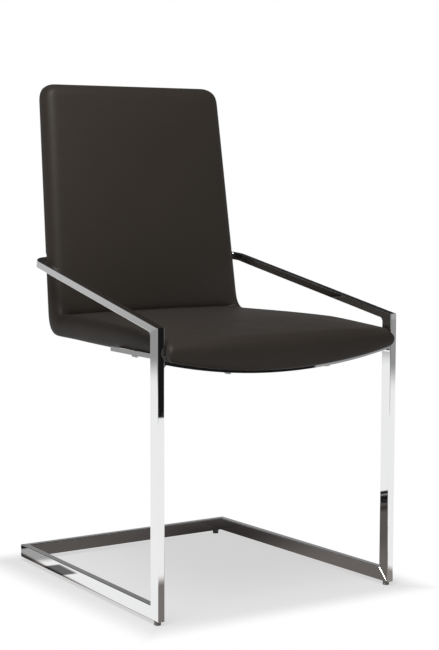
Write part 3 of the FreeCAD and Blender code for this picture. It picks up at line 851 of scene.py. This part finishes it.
back_start = seat_length + corner_length
groove_start = back_start + 0.582 - corner_end
groove_end = back_start + 0.622 - corner_end
seam_top = path_length - seam_inset
top_share = 1 - seam_inset / half_limit(seam_top)
across_top = [on_shell(shell_point(top_share * (1 - i / 40), seam_top, False), thread_lift)
              for i in range(81)]
seam_lines = [seam_line(back_start + 0.02, groove_start, side, 12) for side in (1, -1)]
seam_lines += [seam_line(groove_end, seam_top, 1, 90) + across_top[1:-1]
               + seam_line(groove_end, seam_top, -1, 90)[::-1]]
stitches = row_of_pieces("rear_stitches", seam_lines, thread, Spacing=0.0055, Length=0.0042,
                         Thickness=0.0008)
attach(stitches, "root")
print("stitches:", len(stitches.data.polygons), "faces")

# %% Staples round the lining
staple_inset = 0.006
staple_lift = 0.0003
corner_inset = staple_inset + 0.004
lining_half = lining_high[0]
lining_front, lining_rear = lining_low[1], lining_high[1]
lining_rear_half = lining_half - seat_taper * (lining_rear - lining_front)


def under_lining(x, y):
    return Vector((x, y, bow_height(x) + staple_lift))


def staple_line(start, stop, count=40):
    return [under_lining(*start.lerp(stop, i / count)) for i in range(count + 1)]


corners = [Vector((corner_inset - lining_half, lining_front + staple_inset)),
           Vector((lining_half - corner_inset, lining_front + staple_inset)),
           Vector((lining_rear_half - corner_inset, lining_rear - staple_inset)),
           Vector((corner_inset - lining_rear_half, lining_rear - staple_inset))]
staple_lines = [staple_line(corners[i], corners[(i + 1) % 4]) for i in range(4)]
staple_steel, tree, shader = new_finish("staple_steel", Metallic=1.0, Roughness=0.35,
                                        Base_Color=(0.5, 0.5, 0.5, 1))
staples = row_of_pieces("lining_staples", staple_lines, staple_steel, Spacing=0.038,
                        Length=0.0100, Thickness=0.0008)
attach(staples, "root")
print("staples:", len(staples.data.polygons), "faces")

# %% [markdown]
# ## The small and the hidden pieces
# Glides are moulded nylon, screws and straps are zinc plated, the boards are plywood and
# the lining under the seat is pressed fibre cloth. Most of this is never seen from above,
# but a chair is turned over when it is carried, and then all of it shows.

# %% Plastic, zinc, plywood and lining
nylon, tree, shader = new_finish("grey_nylon", Roughness=0.45)
cloud = wander(tree, 90.0, First_Colour=(0.16, 0.155, 0.15, 1),
               Second_Colour=(0.21, 0.205, 0.20, 1))
fill(tree, shader, Base_Color=cloud["Colour"])
bumped(tree, shader, wander(tree, 900.0)["Height"], 0.00004)

zinc, tree, shader = new_finish("bright_zinc", Metallic=1.0)
spangle = wander(tree, 160.0, First_Colour=(0.46, 0.47, 0.49, 1),
                 Second_Colour=(0.60, 0.60, 0.60, 1))
wear = wander(tree, 420.0, Lowest=0.22, Highest=0.42)
fill(tree, shader, Base_Color=spangle["Colour"], Roughness=wear["Value"])
bumped(tree, shader, wander(tree, 700.0)["Height"], 0.00002)

plywood, tree, shader = new_finish("birch_plywood", Roughness=0.6)
wood_lines = wander(tree, 3.0, 6.0, 0.6, (60, 5, 60), First_Colour=(0.42, 0.28, 0.15, 1),
                    Second_Colour=(0.62, 0.46, 0.28, 1))
fill(tree, shader, Base_Color=wood_lines["Colour"])
bumped(tree, shader, wood_lines["Height"], 0.0001)

lining, tree, shader = new_finish("black_lining", Roughness=0.85)
fibres = wander(tree, 1.0, 5.0, 0.7, (900, 260, 900), First_Colour=(0.010, 0.010, 0.010, 1),
                Second_Colour=(0.035, 0.035, 0.034, 1))
fill(tree, shader, Base_Color=fibres["Colour"])
bumped(tree, shader, fibres["Height"], 0.00015)

dress(("floor_glides",), nylon)
dress(("left_corner_strap", "right_corner_strap", "strap_screws", "seat_tee_nuts", "rail_screws",
       "bracket_screws", "back_inserts", "back_bolts", "back_washers"), zinc)
dress(("seat_board", "back_board"), plywood)
dress(("underside_lining",), lining)
print("small pieces finished")

# %% [markdown]
# ## Floor, room and lamps
# The chair stands in a white studio. The floor is pale and keeps a weak real shadow; under
# the frame a painted shade dims it further. Away from the chair it goes over into the white
# of the world, so no horizon shows. The tubes are mirrors, so they show the room more than
# themselves. A real studio is built round the thing for that reason; here Light Path tells
# eyes and mirrors apart, and each gets its own floor. The floor that mirrors see carries a
# painted shadow of the chair: dark between the runners, brown grey in front of the legs.

# %% The floor
def flat_quad(name, corners):
    piece = mesh_object(name, corners, [(0, 1, 2, 3)])
    return piece


floor_reach = 4.4
floor = flat_quad("studio_floor", [(-floor_reach, -floor_reach, 0), (floor_reach, -floor_reach, 0),
                                   (floor_reach, floor_reach, 0), (-floor_reach, floor_reach, 0)])
paper = bpy.data.materials.new("pale_paper")
paper.use_nodes = True
tree = paper.node_tree
tree.nodes.clear()
coords = tree.nodes.new("ShaderNodeTexCoord").outputs["Object"]
split = add(tree, "ShaderNodeSeparateXYZ", Vector=coords)
across, depth = split.outputs["X"], split.outputs["Y"]
print("floor", floor_reach * 2, "m wide")

# %% Soft edges and patches
def eased(tree, value, low, high, first=0.0, last=1.0):
    """A soft step from first to last while the value goes from low to high."""
    step = add(tree, "ShaderNodeMapRange", interpolation_type="SMOOTHSTEP", Value=value,
               From_Min=low, From_Max=high, To_Min=first, To_Max=last)
    return step.outputs["Result"]


def distance(tree, place, centre):
    node = add(tree, "ShaderNodeVectorMath", operation="DISTANCE")
    feed(tree, node.inputs[0], place)
    feed(tree, node.inputs[1], centre)
    return node.outputs["Value"]


def stretch_of(tree, place, rising, falling):
    """1 between two soft edges, each given as the pair of places it eases over."""
    return maths(tree, "MULTIPLY", eased(tree, place, *rising),
                 eased(tree, place, *falling, 1.0, 0.0))


def patch(tree, width_edges, depth_edges):
    """1 inside a soft-edged oblong of the floor, 0 outside it."""
    return maths(tree, "MULTIPLY", stretch_of(tree, across, *width_edges),
                 stretch_of(tree, depth, *depth_edges))


print("floor helpers ready")

# %% What an eye sees of the floor
frame_side, frame_front, frame_rear = 0.26, -0.27, 0.287
fade_start, fade_end = -0.005, 0.080
shadow_share, shadow_level = 0.80, 0.76
# Painted shade: inside the frame's outline the glow takes four fifths of what the eye sees and is
# dimmed to shadow_level, so the grey under the chair is mostly painted; a fifth of real shadow
# from the lit paper remains.
past_side = maths(tree, "SUBTRACT", maths(tree, "ABSOLUTE", across), frame_side)
past_rear = maths(tree, "SUBTRACT", depth, frame_rear)
past_front = maths(tree, "SUBTRACT", frame_front, depth)
outside = maths(tree, "MAXIMUM", past_side, maths(tree, "MAXIMUM", past_rear, past_front))
eye_share = eased(tree, outside, fade_start, fade_end, shadow_share, 1.0)
eye_level = eased(tree, outside, fade_start, fade_end, shadow_level, 1.0)
print("the shade fades over", round((fade_end - fade_start) * 1000), "mm")

# %% What a mirror sees of the floor
# Painted shadow: the floor that mirrors see is dimmed to 0.115 between the runners and 0.21 before
# the legs, darker near one rear corner and tinted brown grey.
near = patch(tree, ((-0.272, -0.262), (0.32, 0.36)), ((-0.58, -0.50), (0.36, 0.39)))
corner_shade = eased(tree, distance(tree, coords, (0.22, 0.27, 0.0)), 0.0, 0.34, 0.20, 1.0)
left_gain = eased(tree, across, -0.02, 0.12, 1.0, 1.38)
mirrored_shadow_level = maths(tree, "MULTIPLY", eased(tree, depth, -0.29, -0.25, 0.21, 0.115), corner_shade)
mirrored_shadow_level = maths(tree, "MULTIPLY", mirrored_shadow_level, left_gain)
far_level = eased(tree, distance(tree, coords, (0.0, 0.0, 0.0)), 3.0, 3.9, 1.0, 0.33)
mirror_level = mixed(tree, "FLOAT", near, far_level, mirrored_shadow_level)
# each patch of painted shadow: the share of light it keeps, then its edges across and in depth
painted_shadow_patches = ((0.016, ((-0.41, -0.40), (-0.24, -0.23)), ((0.37, 0.38), (0.435, 0.445))),
                (0.15, ((-0.30, -0.29), (-0.236, -0.226)), ((0.13, 0.14), (0.213, 0.223))),
                (0.15, ((-0.222, -0.212), (-0.172, -0.162)), ((0.14, 0.15), (0.19, 0.20))),
                (0.40, ((-0.345, -0.30), (-0.05, -0.005)), ((0.24, 0.285), (0.37, 0.415))))
for kept, width_edges, depth_edges in painted_shadow_patches:
    shade = mixed(tree, "FLOAT", patch(tree, width_edges, depth_edges), 1.0, kept)
    mirror_level = maths(tree, "MULTIPLY", mirror_level, shade)
mirrored_shadow_tint = mixed(tree, "RGBA", near, (1, 1, 1, 1), (1.0, 0.90, 0.86, 1))
print("dark patches in the mirrored floor:", len(painted_shadow_patches))

# %% The floor's material
def shader_mix(tree, share, first, second):
    mix = add(tree, "ShaderNodeMixShader", Fac=share)
    feed(tree, mix.inputs[1], first)
    feed(tree, mix.inputs[2], second)
    return mix.outputs["Shader"]


seen = tree.nodes.new("ShaderNodeLightPath").outputs
by_eye, by_mirror = seen["Is Camera Ray"], seen["Is Glossy Ray"]
matt = add(tree, "ShaderNodeBsdfDiffuse", Color=(0.80, 0.80, 0.80, 1))
bright = add(tree, "ShaderNodeEmission",
             Color=mixed(tree, "RGBA", by_mirror, (1, 1, 1, 1), mirrored_shadow_tint),
             Strength=mixed(tree, "FLOAT", by_mirror, eye_level, mirror_level))
share = maths(tree, "MAXIMUM", maths(tree, "MULTIPLY", by_eye, eye_share), by_mirror)
surface_mix = shader_mix(tree, share, matt.outputs["BSDF"], bright.outputs["Emission"])
add(tree, "ShaderNodeOutputMaterial", Surface=surface_mix)
floor.data.materials.append(paper)
print("paper on the floor:", len(tree.nodes), "nodes")

# %% [markdown]
# ### Screens and the white room
# A photographer darkens polished metal with black card, so that its edges show against
# the white. One dark screen does this for the front faces of the legs, and two thin lamps
# before it draw the light lines in them. All three are seen by mirrors alone. The world
# is white to an eye; to a mirror it is light near the floor and dark overhead, and on
# matt surfaces it falls as a weak even light.

# %% Screens that only mirrors see
def screen(name, azimuths, radius, heights, colour, strength):
    """An upright card in front of the chair; azimuths in degrees, the rest in metres."""
    corners = []
    for azimuth, height in ((azimuths[0], heights[0]), (azimuths[1], heights[0]),
                            (azimuths[1], heights[1]), (azimuths[0], heights[1])):
        angle = math.radians(azimuth)
        corners.append((radius * math.sin(angle), leg_front_y - radius * math.cos(angle),
                        height))
    card = flat_quad(name, corners)
    paint = bpy.data.materials.new(name + "_paint")
    paint.use_nodes = True
    paint.node_tree.nodes.clear()
    glow = add(paint.node_tree, "ShaderNodeEmission", Color=colour, Strength=strength)
    add(paint.node_tree, "ShaderNodeOutputMaterial", Surface=glow.outputs["Emission"])
    card.data.materials.append(paint)
    card.visible_camera = False
    card.visible_diffuse = False
    card.visible_shadow = False
    card.visible_transmission = False
    return card


screen("dark_screen", (-14, 38.2), 2.38, (0.0, 1.6), (0.010, 0.010, 0.010, 1), 1.0)
screen("first_slit", (32.4, 33.3), 2.34, (0.0, 1.2), (1, 1, 1, 1), 0.75)
screen("second_slit", (34.7, 35.3), 2.34, (0.0, 1.2), (1, 1, 1, 1), 0.75)
print("one screen and two thin lamps up")

# %% The world
world = bpy.data.worlds.new("studio")
bpy.context.scene.world = world
world.use_nodes = True
tree = world.node_tree
tree.nodes.clear()
coords = tree.nodes.new("ShaderNodeTexCoord")
parts = add(tree, "ShaderNodeSeparateXYZ", Vector=coords.outputs["Generated"])
lift = add(tree, "ShaderNodeMapRange", Value=parts.outputs["Z"], From_Min=-0.2, From_Max=0.8)
ramp = add(tree, "ShaderNodeValToRGB", Fac=lift.outputs["Result"])
room_levels = ((0.0, 0.33), (0.095, 0.36), (0.13, 0.56), (0.30, 0.45), (0.46, 0.22),
               (0.54, 0.03), (1.0, 0.02))
for i, (at, level) in enumerate(room_levels):
    stop = ramp.color_ramp.elements[i] if i < 2 else ramp.color_ramp.elements.new(at)
    stop.position = at
    stop.color = (level, level, level, 1)
mirrored = add(tree, "ShaderNodeBackground", Color=ramp.outputs["Color"], Strength=1.0)
soft = add(tree, "ShaderNodeBackground", Color=(1, 1, 1, 1), Strength=0.24)
white = add(tree, "ShaderNodeBackground", Color=(1, 1, 1, 1), Strength=1.0)
seen = tree.nodes.new("ShaderNodeLightPath").outputs
room = shader_mix(tree, seen["Is Glossy Ray"], soft.outputs["Background"],
                  mirrored.outputs["Background"])
sky = shader_mix(tree, seen["Is Camera Ray"], room, white.outputs["Background"])
add(tree, "ShaderNodeOutputWorld", Surface=sky)
print("world levels:", len(room_levels))

# %% Lamps
def soft_box(name, place, target, size, power):
    lamp = bpy.data.lights.new(name, "AREA")
    lamp.shape = "RECTANGLE"
    lamp.size, lamp.size_y = size
    lamp.energy = power
    holder = bpy.data.objects.new(name, lamp)
    holder.location = place
    holder.rotation_euler = (Vector(target) - Vector(place)).to_track_quat("-Z", "Y").to_euler()
    holder.visible_camera = False
    bpy.context.collection.objects.link(holder)
    return holder


soft_box("key_box", (-0.72, -0.66, 1.9), (-0.05, 0.1, 0.65), (0.9, 0.9), 37)
soft_box("fill_box", (-0.4, -2.6, 1.7), (0, 0, 0.5), (1.2, 1.2), 6)
print("two soft boxes")
